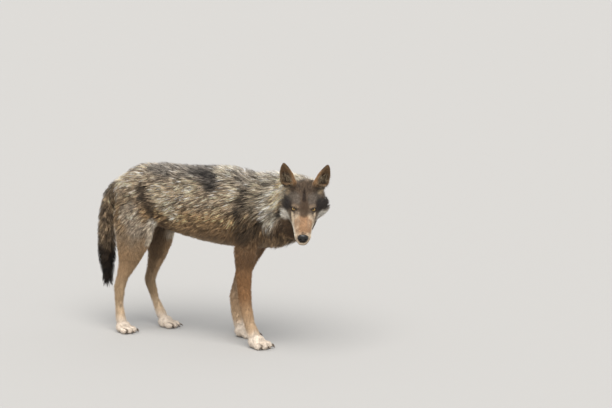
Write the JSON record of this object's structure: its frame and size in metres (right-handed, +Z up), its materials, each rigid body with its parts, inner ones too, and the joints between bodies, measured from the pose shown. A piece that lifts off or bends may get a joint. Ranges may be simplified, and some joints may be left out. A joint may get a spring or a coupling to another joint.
{
  "type": "timber wolf, standing still model",
  "caption": "Life-size grey wolf standing on four paws, head lowered and turned over its right side, ears up, tail hanging.",
  "frame": {"origin": "on the floor, at the middle of the footprint of the whole wolf", "axes": "+X forwards along the body from tail to chest, +Y to the wolf's left, +Z up; the four soles lie on Z = 0"},
  "size_m": [1.1256, 0.357, 0.8032],
  "materials": {
    "coat": "grizzled grey and fawn fur",
    "tail_coat": "long dark fur",
    "leg_coat": "short tawny fur",
    "paw_coat": "short pale fur",
    "ear_coat": "short rusty fur",
    "nose_leather": "moist black pebbled skin",
    "eye": "amber glass eye",
    "claw": "dark horn"
  },
  "bodies": {
    "root": {"head": "coat", "neck": "coat", "trunk": "coat", "tail": "tail_coat", "ear_right": "ear_coat", "ear_left": "ear_coat", "nose": "nose_leather", "eye_right": "eye", "eye_left": "eye", "foreleg_right_upper": "leg_coat", "foreleg_right_lower": "leg_coat", "foreleg_right_paw": "paw_coat", "foreleg_right_claw_outer_right": "claw", "foreleg_right_claw_inner_right": "claw", "foreleg_right_claw_inner_left": "claw", "foreleg_right_claw_outer_left": "claw", "foreleg_left_upper": "leg_coat", "foreleg_left_lower": "leg_coat", "foreleg_left_paw": "paw_coat", "foreleg_left_claw_outer_right": "claw", "foreleg_left_claw_inner_right": "claw", "foreleg_left_claw_inner_left": "claw", "foreleg_left_claw_outer_left": "claw", "hindleg_right_upper": "leg_coat", "hindleg_right_lower": "leg_coat", "hindleg_right_paw": "paw_coat", "hindleg_right_claw_outer_right": "claw", "hindleg_right_claw_inner_right": "claw", "hindleg_right_claw_inner_left": "claw", "hindleg_right_claw_outer_left": "claw", "hindleg_left_upper": "leg_coat", "hindleg_left_lower": "leg_coat", "hindleg_left_paw": "paw_coat", "hindleg_left_claw_outer_right": "claw", "hindleg_left_claw_inner_right": "claw", "hindleg_left_claw_inner_left": "claw", "hindleg_left_claw_outer_left": "claw"}
  },
  "joints": []
}
